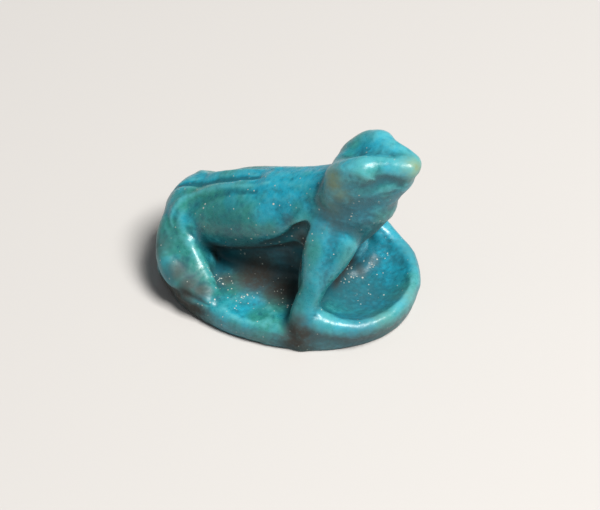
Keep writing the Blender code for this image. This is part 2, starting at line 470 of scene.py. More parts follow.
def hand(clay, side):
    """The hand that curls along the plate's front edge and meets the other one at the tip."""
    return clay.limb([
        (0.373, 0.76 * side, 0.005, 0.082),
        (0.47, 0.721 * side, 0.021, 0.08),
        (0.597, 0.663 * side, -0.005, 0.072),
        (0.754, 0.548 * side, -0.027, 0.066),
        (0.888, 0.288 * side, -0.032, 0.064),
        (0.933, 0, -0.032, 0.064),
    ])


def hind_leg(clay, side):
    """The folded leg round the rump: a broad outer band, a faint fold and a ridge above the foot."""
    outer = clay.limb([
        (-0.821, 0.096 * side, 0.213, 0.072),
        (-0.858, 0.279 * side, 0.165, 0.082),
        (-0.821, 0.49 * side, 0.09, 0.082),
        (-0.709, 0.673 * side, 0.027, 0.082),
        (-0.537, 0.788 * side, -0.005, 0.072),
        (-0.388, 0.827 * side, -0.021, 0.059),
    ])
    fold = clay.limb([
        (-0.836, 0.269 * side, 0.181, 0.082),
        (-0.813, 0.385 * side, 0.144, 0.082),
        (-0.731, 0.519 * side, 0.09, 0.072),
        (-0.597, 0.635 * side, 0.037, 0.064),
        (-0.463, 0.731 * side, 0, 0.059),
    ])
    ridge = clay.limb([
        (-0.776, 0.231 * side, 0.229, 0.059),
        (-0.791, 0.327 * side, 0.181, 0.064),
        (-0.724, 0.413 * side, 0.16, 0.066),
        (-0.642, 0.49 * side, 0.117, 0.059),
        (-0.552, 0.567 * side, 0.064, 0.056),
        (-0.463, 0.644 * side, 0.027, 0.053),
        (-0.388, 0.712 * side, -0.011, 0.048),
    ])
    filling = clay.lump((-0.687, 0.462 * side, -0.016), (0.239, 0.288, 0.17))
    foot = clay.lump((-0.448, 0.74 * side, 0), (0.134, 0.115, 0.064))
    return [outer, fold, ridge, filling, foot]


def dish(clay):
    """The hollow of the plate between the hands."""
    return clay.lump((0.627, 0, 0.144), (0.381, 0.702, 0.202))


def flank_hollows(clay):
    """The clefts under the belly, between each side's arm and hind foot, and up along the arm."""
    low = [
        clay.lump((-0.067, 0.692 * side, 0.106), (0.343, 0.442, 0.112), roll=-15 * side)
        for side in (-1, 1)
    ]
    high = [
        clay.limb([
            (-0.119, 0.577 * side, 0.165, 0.117),
            (0.045, 0.529 * side, 0.245, 0.117),
            (0.149, 0.462 * side, 0.335, 0.085),
            (0.216, 0.413 * side, 0.426, 0.059),
            (0.269, 0.404 * side, 0.5, 0.027),
        ])
        for side in (-1, 1)
    ]
    return low + high


def string_hole(clay):
    """The straight bore under the belly and its worn, widened mouth low on the chest."""
    s = clay.sizes
    height = s.plate_thickness + s.hole_above_plate + s.string_hole / 2
    deselect_all()
    bpy.ops.mesh.primitive_cylinder_add(
        vertices=48,
        radius=s.string_hole / 2,
        depth=2 * s.plate_length,
        location=(0, 0, height),
        rotation=(0, math.pi / 2, 0),
    )
    bpy.ops.object.transform_apply(location=True, rotation=True)
    bore = bpy.context.active_object
    deselect_all()
    bpy.ops.mesh.primitive_uv_sphere_add(
        segments=48,
        ring_count=24,
        radius=s.hole_mouth / 2,
        location=(s.hole_mouth_along * s.plate_length / 2, 0, height),
    )
    bpy.ops.object.transform_apply(location=True)
    return [bore, bpy.context.active_object]


def model_frog(sizes):
    """The whole frog, built up from lumps and rolls, then pressed, cut, carved and weathered."""
    clay = Clay(sizes)
    ground = join("ground", [plate(clay), hand(clay, -1), hand(clay, 1)])
    knead(ground, sizes.clay_grain, rounds=1)
    press_out(ground, dish(clay), "dish")
    skull = join("skull", head(clay))
    knead(skull, sizes.clay_grain, rounds=sizes.head_softening)
    pieces = [ground, skull, *trunk(clay)]
    for side in (-1, 1):
        pieces += arm(clay, side) + hind_leg(clay, side)
    frog = join("faience_frog", pieces)
    knead(frog, sizes.clay_grain, rounds=3)
    pressed = join("pressed", flank_hollows(clay))
    knead(pressed, sizes.clay_grain, rounds=1)
    press_out(frog, pressed, "hollows under the belly")
    for cutter in string_hole(clay):
        press_out(frog, cutter, "string hole")
    middle_grain = sizes.clay_grain * 0.8
    for grain in (middle_grain, sizes.skin_grain):
        knead(frog, grain, rounds=2)
    carve(frog, clay)
    weather(frog)
    cut_flat(frog, sizes.skin_grain / FINENESS)
    lay_marks(frog, clay)
    pick(frog)
    bpy.ops.object.shade_smooth_by_angle(angle=SHARP_ANGLE)
    return frog


def cut_flat(frog, tolerance):
    """Cuts the underside flat and closes it."""
    pick(frog)
    bpy.ops.object.mode_set(mode="EDIT")
    bpy.ops.mesh.select_all(action="SELECT")
    bpy.ops.mesh.bisect(
        plane_co=(0, 0, 0), plane_no=(0, 0, 1), clear_inner=True, use_fill=True, threshold=tolerance
    )
    bpy.ops.object.mode_set(mode="OBJECT")


# Carving and weathering on the skin


def skin_arrays(obj):
    """Places and normals of all points of the skin."""
    mesh = obj.data
    points = np.empty(len(mesh.vertices) * 3)
    mesh.vertices.foreach_get("co", points)
    normals = np.empty(len(mesh.vertices) * 3)
    mesh.vertex_normals.foreach_get("vector", normals)
    return points.reshape(-1, 3), normals.reshape(-1, 3)


def move_skin(obj, points):
    obj.data.vertices.foreach_set("co", points.ravel())
    obj.data.update()


def settle_on_skin(route, points):
    """The route's rows moved onto the skin, and the line through them evened out."""
    settled = []
    for row in route:
        nearest = points[np.argmin(((points - np.array(row.xyz)) ** 2).sum(axis=1))]
        settled.append(Vector((*nearest, row.w)))
    for _ in range(SETTLING_ROUNDS):
        rows = zip(settled, settled[1:], settled[2:])
        inner = [(before + 2 * row + after) / 4 for before, row, after in rows]
        settled = [settled[0], *inner, settled[-1]]
    return settled


def distance_to_route(points, route):
    """Distance of each point to a route, and the route's own radius at the nearest spot."""
    nearest = np.full(len(points), np.inf)
    width = np.zeros(len(points))
    for start, end in zip(route, route[1:]):
        a, b = np.array(start.xyz), np.array(end.xyz)
        along = b - a
        t = np.clip((points - a) @ along / max(along @ along, 1e-18), 0.0, 1.0)
        gap = np.linalg.norm(points - (a + t[:, None] * along), axis=1)
        closer = gap < nearest
        nearest[closer] = gap[closer]
        width[closer] = (start.w + (end.w - start.w) * t)[closer]
    return nearest, width


def incise(obj, route, depth):
    """Presses a soft groove into the skin along a route; a negative depth raises a ridge."""
    points, normals = skin_arrays(obj)
    gap, width = distance_to_route(points, settle_on_skin(route, points))
    widest = max(row.w for row in route)
    share = gap / np.maximum(width, 1e-6)
    fall = np.exp(-(share**2) * GROOVE_FALL) * (width / widest)
    points = points - normals * (depth * fall)[:, None]
    move_skin(obj, points)


def soften(obj, clay, rows, rounds):
    """Strokes the clay smooth round some places, given in shares with a reach in millimetres."""
    points, _ = skin_arrays(obj)
    group = obj.vertex_groups.new(name="stroked")
    weights = np.zeros(len(points))
    for along, across, up, reach in rows:
        gap = np.linalg.norm(points - np.array(clay.at(along, across, up)), axis=1) / (reach * MM)
        weights = np.maximum(weights, np.exp(-(gap**4)))
    for index in np.flatnonzero(weights > 0.02):
        group.add([int(index)], float(weights[index]), "REPLACE")
    smooth = obj.modifiers.new("stroked smooth", "SMOOTH")
    smooth.factor = 0.5
    smooth.iterations = rounds
    smooth.vertex_group = group.name
    apply_modifiers(obj)
    obj.vertex_groups.clear()


def dent(obj, centre, reach, depth):
    """Presses a soft dent into the skin; a negative depth raises a soft bump."""
    points, normals = skin_arrays(obj)
    share = np.linalg.norm(points - np.array(centre), axis=1) / reach
    points = points - normals * (depth * np.exp(-(share**2) * DENT_FALL))[:, None]
    move_skin(obj, points)


# Places that are stroked smooth: in shares, with a reach in millimetres
SOFT_PLACES = both_sides([
    (0.552, 0.346, 0.697, 0.5),  # cheek
    (0.716, 0.135, 0.633, 0.45),  # under the jaw
    (0.388, 0.365, 0.516, 0.45),  # shoulder
    (0.612, 0.115, 0.936, 0.3),  # top of the head
    (0.537, 0.192, -0.005, 0.45),  # dish, beside the hole
    (0.552, 0.423, -0.005, 0.4),  # dish, beside the arm
    (0.642, 0.635, 0.059, 0.45),  # rim
    (0.866, 0.385, 0.037, 0.45),  # front of the rim
])


def carve(frog, clay):
    """The back's furrows and ridges, the legs' folds and the face's dents, after some stroking."""
    soften(frog, clay, SOFT_PLACES, rounds=40)
    spine = clay.route([
        (-0.925, 0, 0.25, 0.016),
        (-0.821, 0, 0.314, 0.032),
        (-0.701, 0, 0.378, 0.037),
        (-0.522, 0, 0.452, 0.037),
        (-0.373, 0, 0.5, 0.027),
        (-0.254, 0, 0.537, 0.013),
    ])
    incise(frog, spine, depth=0.1 * MM)
    dent(frog, clay.at(0.552, 0, 0.91), 0.4 * MM, 0.04 * MM)
    dent(frog, clay.at(0.687, 0, 0.947), 0.3 * MM, 0.02 * MM)
    dent(frog, clay.at(-0.478, 0.269, 0.473), 0.22 * MM, 0.07 * MM)
    for side in (-1, 1):
        back_edge = clay.route([
            (-0.149, 0.135 * side, 0.58, 0.021),
            (-0.336, 0.144 * side, 0.516, 0.032),
            (-0.485, 0.144 * side, 0.479, 0.037),
            (-0.687, 0.154 * side, 0.383, 0.037),
            (-0.806, 0.212 * side, 0.293, 0.037),
            (-0.821, 0.288 * side, 0.229, 0.027),
            (-0.799, 0.365 * side, 0.176, 0.011),
        ])
        incise(frog, back_edge, depth=-0.045 * MM)
        back_hollow = clay.route([
            (-0.224, 0.212 * side, 0.532, 0.011),
            (-0.463, 0.212 * side, 0.468, 0.037),
            (-0.612, 0.25 * side, 0.399, 0.048),
            (-0.716, 0.288 * side, 0.314, 0.048),
            (-0.716, 0.365 * side, 0.239, 0.032),
            (-0.642, 0.442 * side, 0.186, 0.011),
        ])
        incise(frog, back_hollow, depth=0.05 * MM)
        leg_fold = clay.route([
            (-0.881, 0.404 * side, 0.186, 0.011),
            (-0.821, 0.519 * side, 0.133, 0.037),
            (-0.731, 0.615 * side, 0.09, 0.043),
            (-0.627, 0.702 * side, 0.059, 0.037),
            (-0.537, 0.76 * side, 0.032, 0.011),
        ])
        incise(frog, leg_fold, depth=0.02 * MM)
        foot_groove = clay.route([
            (-0.881, 0.481 * side, 0.016, 0.021),
            (-0.799, 0.654 * side, 0.005, 0.032),
            (-0.687, 0.74 * side, 0, 0.037),
            (-0.582, 0.798 * side, 0, 0.037),
            (-0.448, 0.875 * side, 0, 0.027),
            (-0.336, 0.904 * side, -0.005, 0.005),
        ])
        incise(frog, foot_groove, depth=0.09 * MM)
        under_brow = clay.route([
            (0.746, 0.25 * side, 0.835, 0.016),
            (0.806, 0.192 * side, 0.867, 0.043),
            (0.881, 0.163 * side, 0.867, 0.043),
            (0.955, 0.125 * side, 0.862, 0.016),
        ])
        incise(frog, under_brow, depth=0.02 * MM)
        eye_ridge = clay.route([
            (0.433, 0.25 * side, 0.867, 0.011),
            (0.522, 0.298 * side, 0.904, 0.032),
            (0.627, 0.308 * side, 0.926, 0.037),
            (0.701, 0.269 * side, 0.904, 0.027),
            (0.761, 0.212 * side, 0.867, 0.011),
        ])
        incise(frog, eye_ridge, depth=-0.03 * MM)
        mouth = clay.route([
            (0.821, 0.192 * side, 0.782, 0.016),
            (0.91, 0.144 * side, 0.793, 0.024),
            (0.985, 0.077 * side, 0.809, 0.024),
            (1.03, 0, 0.819, 0.021),
        ])
        incise(frog, mouth, depth=0.012 * MM)
        dent(frog, clay.at(0.776, 0.25 * side, 0.835), 0.24 * MM, 0.03 * MM)
        dent(frog, clay.at(0.94, 0.154 * side, 0.835), 0.14 * MM, 0.03 * MM)
        dent(frog, clay.at(-0.649, 0.5 * side, 0.186), 0.15 * MM, -0.03 * MM)


def weather(frog):
    """An uneven surface with small dents and pits, mostly inwards, so that the frog keeps its size."""
    for name, scale, strength in (
        ("hand-made unevenness", 1.1 * MM, 0.05 * MM),
        ("small dents", 0.32 * MM, 0.022 * MM),
        ("pitting", 0.12 * MM, 0.012 * MM),
    ):
        texture = bpy.data.textures.new(name, "CLOUDS")
        texture.noise_scale = scale
        texture.noise_depth = 2
        displace = frog.modifiers.new(name, "DISPLACE")
        displace.texture = texture
        displace.texture_coords = "LOCAL"
        displace.strength = strength
        displace.mid_level = 0.8
    apply_modifiers(frog)


# Marks on the skin that the glaze's colours follow, painted shade and painted highlights among them


def sky_share(points, normals):
    """Share of the sky that each point sees, from looking at the skin from many sides."""
    seen = np.zeros(len(points))
    weight = np.zeros(len(points))
    for step in range(SKY_LOOKS):
        up = 1 - (step + 0.5) / SKY_LOOKS
        turn = step * SKY_TURN
        flat = math.sqrt(1 - up * up)
        look = np.array((flat * math.cos(turn), flat * math.sin(turn), up))
        side = np.cross(look, (0.0, 0.0, 1.0) if up < 0.9 else (1.0, 0.0, 0.0))
        side /= np.linalg.norm(side)
        other = np.cross(look, side)
        column = ((points @ side) / SKY_CELL).astype(int)
        row = ((points @ other) / SKY_CELL).astype(int)
        column -= column.min()
        row -= row.min()
        depth = points @ look
        top = np.full((column.max() + 3, row.max() + 3), -np.inf)
        np.maximum.at(top, (column + 1, row + 1), depth)
        facing = normals @ look
        lit = (depth > top[column + 1, row + 1] - SKY_SLACK) & (facing > 0.0)
        share = max(up, SKY_LOWEST)
        seen += lit * share * np.clip(facing, 0.0, 1.0) ** 0.5
        weight += share
    return seen / weight


def neighbour_mean(values, edges, rounds):
    """Values evened out over neighbouring points."""
    values = values.copy()
    count = np.zeros(len(values))
    np.add.at(count, edges[:, 0], 1)
    np.add.at(count, edges[:, 1], 1)
    count = np.maximum(count, 1)
    for _ in range(rounds):
        total = np.zeros_like(values)
        np.add.at(total, edges[:, 0], values[edges[:, 1]])
        np.add.at(total, edges[:, 1], values[edges[:, 0]])
        mean = total / (count[:, None] if values.ndim > 1 else count)
        values = 0.5 * values + 0.5 * mean
    return values


def near(points, clay, rows):
    """Soft patches on the skin; a row is a place in shares, a reach in millimetres and a strength."""
    patch = np.zeros(len(points))
    for along, across, up, reach, strength in rows:
        gap = np.linalg.norm(points - np.array(clay.at(along, across, up)), axis=1) / (reach * MM)
        patch = np.maximum(patch, strength * np.exp(-PATCH_FALL * gap**2))
    return patch


def relief(points, normals, edges, rounds, height):
    """How far the skin stands proud of the same skin evened out, as a share of a height."""
    return ((points - neighbour_mean(points, edges, rounds)) * normals).sum(axis=1) / height


def soft_step(values, low, high):
    """From 0 at the low value to 1 at the high one."""
    t = np.clip((values - low) / (high - low), 0.0, 1.0)
    return t * t * (3 - 2 * t)


# Patches of the glaze, and of painted shade and painted highlights: rows of a place in shares, a reach
# in millimetres and a strength
PATCHES = {
    # Dirt and painted shade: spots in the clefts that darken where little sky is seen.
    "dirtied_and_shaded": both_sides([
        (-0.149, 0.481, 0.016, 1.0, 0.9),  # floor of the cleft
        (0.075, 0.433, 0.096, 0.8, 0.9),  # cleft behind the arm
        (0.269, 0.462, 0.484, 0.28, 0.8),  # top of the cleft
        (-0.336, 0.5, 0.069, 0.5, 0.8),  # cleft before the hind leg
        (0.418, 0.077, 0.048, 0.45, 0.8),  # below the hole
    ]) + [
        (0.463, 0, 0.112, 0.5, 0.9),  # mouth of the string hole
    ],
    # Dirt and painted shade on the plate's side walls under the rump, the legs, the arms and the dish.
    "dirtied and shaded wall": both_sides([
        (-0.746, 0.721, -0.08, 1.1, 1.0),  # under the rump
        (-0.522, 0.885, -0.08, 0.9, 1.0),  # under the hind leg
        (0.373, 0.913, -0.08, 0.8, 0.9),  # under the arm
        (0.746, 0.577, -0.08, 1.6, 0.45),  # under the dish
    ]) + [
        (-1.0, 0, -0.08, 1.5, 0.7),  # rear end
    ],
    # Stains and painted shade: dark patches in the clefts, at the hole, and on the elbow, the arm's
    # foot, the hind leg and foot and the walls under them.
    "stain and shade": both_sides([
        (-0.149, 0.346, 0.016, 0.95, 0.85),  # deep in the cleft
        (0.06, 0.404, 0.037, 0.85, 0.85),  # deep behind the arm
        (0.261, 0.452, 0.399, 0.3, 0.8),  # top of the cleft
        (0.231, 0.413, 0.239, 0.35, 0.9),  # behind the forearm
        (0.209, 0.385, 0.346, 0.35, 0.9),  # behind the upper arm
        (0.358, 0.933, 0.005, 0.42, 0.8),  # arm's foot
        (0.425, 0.923, -0.005, 0.4, 0.85),  # before the arm's foot
        (0.388, 0.865, 0.08, 0.28, 0.5),  # elbow
        (-0.336, 0.5, 0.037, 0.45, 0.8),  # cleft before the hind leg
        (-0.522, 0.577, -0.016, 0.3, 0.6),  # inside the hind foot
        (-0.627, 0.846, -0.069, 0.5, 0.9),  # wall under the hind leg
        (-0.448, 0.962, -0.069, 0.45, 0.8),  # wall under the hind foot
        (0.373, 0.942, -0.069, 0.45, 0.9),  # wall under the arm
        (-0.821, 0.692, -0.069, 0.5, 0.8),  # wall under the rump
        (-0.657, 0.769, 0.08, 0.5, 0.55),  # outer side of the leg
        (-0.537, 0.837, 0.059, 0.48, 0.62),  # lower down the leg
        (-0.433, 0.846, 0.048, 0.42, 0.62),  # hind foot
        (-0.537, 0.894, 0.011, 0.45, 0.7),  # below the leg
        (-0.851, 0.577, 0.122, 0.45, 0.3),  # haunch
        (0.791, 0.606, -0.043, 0.8, 0.3),  # outside of the rim
        (0.478, 0.115, 0.016, 0.28, 0.8),  # beside the hole
    ]) + [
        (0.522, 0.192, -0.011, 0.26, 0.75),  # dish, beside the hole
        (0.56, 0.365, -0.011, 0.3, 0.45),  # dish, further out
        (0.433, 0, 0.101, 0.4, 0.8),  # mouth of the string hole
    ],
    "olive": both_sides([
        (0.448, 0.327, 0.824, 0.42, 0.9),  # behind the eye
        (0.522, 0.385, 0.761, 0.36, 0.6),  # cheek
        (0.448, 0.346, 0.654, 0.35, 0.3),  # side of the neck
    ]) + [
        (1.0, -0.038, 0.931, 0.35, 0.9),  # tip of the snout
        (0.985, 0, 0.016, 0.5, 0.3),  # tip of the plate
        (0.881, -0.423, 0.037, 0.5, 0.25),  # front of the rim
    ],
    # Film and painted shade: blue-grey on the haunch, the arm's foot, the shoulder, the throat and the
    # dish floor.
    "film_and_shade": both_sides([
        (-0.866, 0.538, 0.122, 0.4, 0.6),  # haunch
        (0.388, 0.846, 0.016, 0.5, 0.6),  # arm's foot
        (0.448, 0.385, 0.548, 0.5, 0.5),  # shoulder
    ]) + [
        (0.657, 0.115, 0.654, 0.7, 0.45),  # throat
        (0.634, -0.096, -0.037, 0.9, 0.35),  # floor of the dish
    ],
    "shaded": both_sides([
        (-0.672, 0.75, 0.085, 0.45, 0.9),  # outer side of the leg
        (-0.552, 0.817, 0.069, 0.45, 1.0),  # lower down the leg
        (-0.433, 0.846, 0.048, 0.4, 1.0),  # hind foot
        (-0.836, 0.558, 0.154, 0.45, 0.5),  # haunch
        (-0.343, 0.423, 0.335, 0.95, 1.0),  # flank
        (0.03, 0.404, 0.399, 0.9, 0.6),  # flank behind the shoulder
        (0.493, 0.5, 0.367, 0.7, 0.75),  # front of the upper arm
        (0.418, 0.731, 0.186, 0.55, 0.8),  # forearm
        (0.791, 0.606, -0.048, 0.8, 0.6),  # outside of the rim
        (0.493, 0.827, -0.027, 0.5, 0.6),  # rim beside the arm
        (-0.373, 0.808, 0.037, 0.35, 0.8),  # toes
        (0.373, 0.885, 0.037, 0.45, 1.0),  # arm's foot
        (0.657, 0.327, 0.723, 0.45, 0.8),  # lower cheek
        (0.507, 0.346, 0.633, 0.6, 1.0),  # side of the neck
        (0.343, 0.385, 0.505, 0.45, 0.7),  # shoulder
        (0.657, 0.077, -0.048, 0.8, 0.6),  # floor of the dish
        (-0.343, 0.462, 0.229, 0.8, 0.6),  # lower flank
        (-0.075, 0.442, 0.271, 0.7, 0.7),  # lower flank behind the arm
    ]) + [
        (0.627, 0, 0.537, 0.8, 0.9),  # throat
    ],
    "blue": both_sides([
        (0, 0.115, 0.628, 1.6, 0.7),  # back
        (0.627, 0.096, -0.027, 1.0, 0.9),  # floor of the dish
        (0.709, 0.548, 0.016, 0.8, 1.0),  # front of the rim
        (-0.149, 0.885, -0.027, 0.9, 0.25),  # edge of the plate
        (0.507, 0.192, 0.362, 0.7, 0.6),  # chest
    ]) + [
        (0.522, 0, 0.707, 0.8, 0.3),  # neck
        (0.776, 0, 0.92, 0.8, 0.4),  # top of the snout
        (-0.336, 0, 0.495, 1.0, 0.4),  # spine
    ],
    # Painted highlights: pale spots on the eye ridges, the leg's ridge, the snout, the top of the
    # head, the forearm and the rim.
    "pale": both_sides([
        (0.694, 0.231, 0.957, 0.16, 0.9),  # front of the eye ridge
        (0.604, 0.288, 0.936, 0.2, 1.0),  # eye ridge
        (-0.627, 0.51, 0.186, 0.15, 1.0),  # bump of the leg
        (-0.567, 0.567, 0.144, 0.1, 0.7),  # ridge of the leg
    ]) + [
        (0.91, -0.077, 0.968, 0.3, 0.8),  # snout
        (0.746, 0, 0.968, 0.45, 0.7),  # between the eyes
        (0.836, 0.038, 0.968, 0.35, 0.5),  # top of the snout
        (0.47, -0.673, 0.106, 0.25, 0.5),  # forearm
        (0.672, -0.635, 0.069, 0.35, 0.7),  # rim
        (0.522, -0.731, 0.08, 0.3, 0.6),  # rim beside the arm
        (0.836, -0.442, 0.037, 0.3, 0.5),  # front of the rim
        (0.776, 0.558, 0.069, 0.4, 0.5),  # front of the rim, far side
    ],
    "green": both_sides([
        (-0.836, 0.558, 0.154, 0.6, 0.9),  # haunch
        (-0.373, 0.423, 0.367, 1.3, 0.9),  # flank
        (0.075, 0.423, 0.388, 0.9, 0.6),  # flank behind the shoulder
        (0.358, 0.577, 0.229, 0.6, 0.7),  # forearm
        (-0.56, 0.75, 0.048, 0.7, 0.4),  # hind leg
        (0.716, 0.327, 0.771, 0.4, 0.3),  # cheek
        (-0.269, 0.808, 0, 0.8, 0.8),  # plate before the hind foot
        (0, 0.808, -0.005, 0.5, 0.5),  # plate between foot and arm
    ]),
    "sand": both_sides([
        (-0.388, 0.596, 0.016, 0.35, 0.8),  # beside the hind foot
        (-0.493, 0.577, 0.08, 0.2, 0.9),  # inner side of the leg
        (-0.149, 0.673, 0.005, 0.35, 0.55),  # floor of the cleft
        (0.112, 0.577, 0.016, 0.35, 0.55),  # floor of the cleft, by the arm
        (0.254, 0.442, 0.282, 0.4, 0.9),  # behind the forearm
        (0.284, 0.462, 0.42, 0.3, 0.9),  # top of the cleft
        (-0.209, 0.846, -0.005, 0.5, 0.3),  # edge of the plate
    ]) + [
        (0.463, 0.077, -0.016, 0.35, 0.6),  # below the hole
        (0.567, 0.346, 0.016, 0.5, 0.35),  # dish, far side
        (0.597, 0, -0.037, 0.8, 0.1),  # floor of the dish
        (0.672, 0, 0.441, 1.2, 0.1),  # throat
        (-0.149, 0, 0.335, 2.5, 0.05),  # thinly all over
    ],
}


def lay_marks(frog, clay):
    """Writes as attributes for the glaze where the skin is dirty, stained, rubbed, filmed over or
    sandy, where shade is painted into hollows, creases and low walls, and where highlights are painted
    on ridges.
    """
    points, normals = skin_arrays(frog)
    mesh = frog.data
    edges = np.empty(len(mesh.edges) * 2, dtype=np.int64)
    mesh.edges.foreach_get("vertices", edges)
    edges = edges.reshape(-1, 2)
    open_sky = neighbour_mean(sky_share(points, normals), edges, 6)
    fine = relief(points, normals, edges, rounds=8, height=0.006 * MM)
    broad = relief(points, normals, edges, rounds=60, height=0.05 * MM)
    height = points[:, 2] / MM
    # Painted shade: low walls that face sideways or down, places that see little sky and the most
    # closed-in places get darker marks.
    wall = (1 - soft_step(height, 0.45, 0.95)) * (1 - soft_step(normals[:, 2], 0.25, 0.75))
    sky_shade = 1 - soft_step(open_sky, 0.10, 0.60)
    unlit_shade = 1 - soft_step(open_sky, 0.03, 0.20)
    patch = {name: near(points, clay, rows) for name, rows in PATCHES.items()}
    # Dirt and painted shade: the dirt spots count only where little sky is seen, and low walls are
    # darkened.
    low_dirt_and_shade = sky_shade * np.minimum(1.3 * patch["dirtied_and_shaded"], 1)
    wall_dirt_and_shade = 0.75 * wall * patch["dirtied and shaded wall"]
    # Thin glaze and painted highlight on ridges, less where painted shade lies, plus the painted
    # highlight spots.
    proud = np.clip(0.6 * fine + 0.4 * broad, 0, 1) * (1 - 0.8 * patch["shaded"])
    # Painted shade in hollows and creases, stronger where little sky is seen, and on the shaded
    # patches.
    hollow = np.clip(-0.6 * fine - 0.3 * broad + 0.75 * sky_shade, 0, 1)
    marks = {
        "dirt_and_shade": np.maximum.reduce([low_dirt_and_shade, 0.6 * unlit_shade, wall_dirt_and_shade, patch["stain and shade"]]),
        "ridge": np.clip(proud + patch["pale"], 0, 1),
        "crease_shade": np.clip(hollow + 0.7 * patch["shaded"], 0, 1),
        "olive": patch["olive"],
        # Film, with painted shade on low walls.
        "film_and_shade": np.clip(patch["film_and_shade"] + 0.5 * wall, 0, 1),
        "blue": np.clip(patch["blue"] - patch["green"], -1, 1),
        "sand": patch["sand"],
    }
    for name, values in marks.items():
        mark = mesh.attributes.new(name, "FLOAT", "POINT")
        mark.data.foreach_set("value", values.astype(np.float32))


# The glaze


def glazed_faience(glaze):
    """Mottled blue and green glaze, with dirt and painted shade in the hollows, thin glaze and painted
    highlights on the ridges, rubbed places, dust and sand.
    """
    material = bpy.data.materials.new("glazed faience")
    material.use_nodes = True
    nodes = material.node_tree.nodes
    links = material.node_tree.links
    shader = nodes["Principled BSDF"]

    def node(kind, **values):
        made = nodes.new(kind)
        for key, value in values.items():
            setattr(made, key, value)
        return made

    def feed(socket, value):
        if isinstance(value, bpy.types.NodeSocket):
            links.new(value, socket)
        elif isinstance(value, (int, float)):
            socket.default_value = value
        else:
            socket.default_value = (*value, 1.0)

    place = node("ShaderNodeTexCoord")
    in_mm = node("ShaderNodeMapping")
    in_mm.inputs["Scale"].default_value = (1 / MM, 1 / MM, 1 / MM)
    links.new(place.outputs["Object"], in_mm.inputs["Vector"])

    def noise(scale, detail=3.0, roughness=0.6):
        made = node("ShaderNodeTexNoise")
        feed(made.inputs["Scale"], scale)
        feed(made.inputs["Detail"], detail)
        feed(made.inputs["Roughness"], roughness)
        links.new(in_mm.outputs["Vector"], made.inputs["Vector"])
        return made.outputs["Fac"]

    def ramp(value, low, high, start=0.0, end=1.0):
        made = node("ShaderNodeMapRange", interpolation_type="SMOOTHSTEP")
        feed(made.inputs["Value"], value)
        limits = {"From Min": low, "From Max": high, "To Min": start, "To Max": end}
        for name, number in limits.items():
            feed(made.inputs[name], number)
        return made.outputs["Result"]

    def mark(name):
        return node("ShaderNodeAttribute", attribute_name=name).outputs["Fac"]

    def calc(operation, first, second, clamp=False):
        made = node("ShaderNodeMath", operation=operation, use_clamp=clamp)
        feed(made.inputs[0], first)
        feed(made.inputs[1], second)
        return made.outputs[0]

    def mix(base, over, share):
        made = node("ShaderNodeMix", data_type="RGBA")
        feed(made.inputs[0], share)
        feed(made.inputs[6], base)
        feed(made.inputs[7], over)
        return made.outputs[2]

    clouds = noise(0.8, detail=2.0)
    mottle = noise(4.5, detail=4.0, roughness=0.65)
    speckle = noise(16.0, roughness=0.7)
    broken = noise(7.0, detail=5.0, roughness=0.75)

    blueness = calc("MULTIPLY", mark("blue"), 0.9)
    greenness = calc("SUBTRACT", ramp(clouds, 0.36, 0.64), blueness, clamp=True)
    rubbed = calc("MULTIPLY", mark("olive"), ramp(mottle, 0.3, 0.6, start=0.55))
    # Blue-grey film and painted shade.
    filmed_and_shaded = calc("MULTIPLY", mark("film_and_shade"), ramp(broken, 0.35, 0.6, start=0.4))
    # Share of the dark colour: dirt and painted shade, broken up by noise.
    dirtied_and_shaded = calc("MULTIPLY", ramp(mark("dirt_and_shade"), 0.05, 0.8), ramp(broken, 0.25, 0.6, start=0.8))
    sand = mark("sand")

    def specks(scale, size, rarity):
        """Separate grains: the inside of cells around random points, of which only some are kept."""
        made = node("ShaderNodeTexVoronoi")
        feed(made.inputs["Scale"], scale)
        links.new(in_mm.outputs["Vector"], made.inputs["Vector"])
        inside = ramp(made.outputs["Distance"], size, size * 0.6)
        split = node("ShaderNodeSeparateColor")
        links.new(made.outputs["Color"], split.inputs[0])
        chance = calc("ADD", split.outputs[0], calc("MULTIPLY", sand, rarity))
        kept = ramp(chance, 0.985, 1.0)
        return calc("MULTIPLY", inside, kept)

    grains = calc("MAXIMUM", specks(9.0, 0.30, 0.55), specks(16.0, 0.34, 0.6))
    colour = tuple(glaze.blue)
    for over, share in (
        (glaze.green, greenness),
        (glaze.deep, ramp(mottle, 0.48, 0.74, end=0.65)),
        (glaze.deep, ramp(speckle, 0.55, 0.75, end=0.45)),
        (glaze.pale, ramp(broken, 0.58, 0.74, end=0.30)),
        # Thin glaze and painted highlight on ridges.
        (glaze.pale, calc("MULTIPLY", mark("ridge"), 0.6)),
        # Painted shade in creases and on sides turned from the light.
        (glaze.deep, calc("MULTIPLY", mark("crease_shade"), 0.8)),
        (glaze.olive, rubbed),
        # Film and painted shade.
        (glaze.film_and_shade, filmed_and_shaded),
        # Dirt and painted shade.
        (glaze.dirt_and_shade, dirtied_and_shaded),
        (glaze.dust, grains),
    ):
        colour = mix(colour, tuple(over), share)
    links.new(colour, shader.inputs["Base Color"])

    rough = calc("ADD", glaze.roughness, ramp(speckle, 0.35, 0.7, -0.05, 0.12))
    for share, more in ((dirtied_and_shaded, 0.55), (rubbed, 0.10), (filmed_and_shaded, 0.30), (grains, 0.3)):
        rough = calc("ADD", rough, calc("MULTIPLY", share, more))
    links.new(rough, shader.inputs["Roughness"])

    bump = node("ShaderNodeBump")
    feed(bump.inputs["Strength"], 0.35)
    feed(bump.inputs["Distance"], 0.01 * MM)
    links.new(calc("ADD", speckle, calc("MULTIPLY", grains, 1.5)), bump.inputs["Height"])
    links.new(bump.outputs["Normal"], shader.inputs["Normal"])
    return material


# The stage


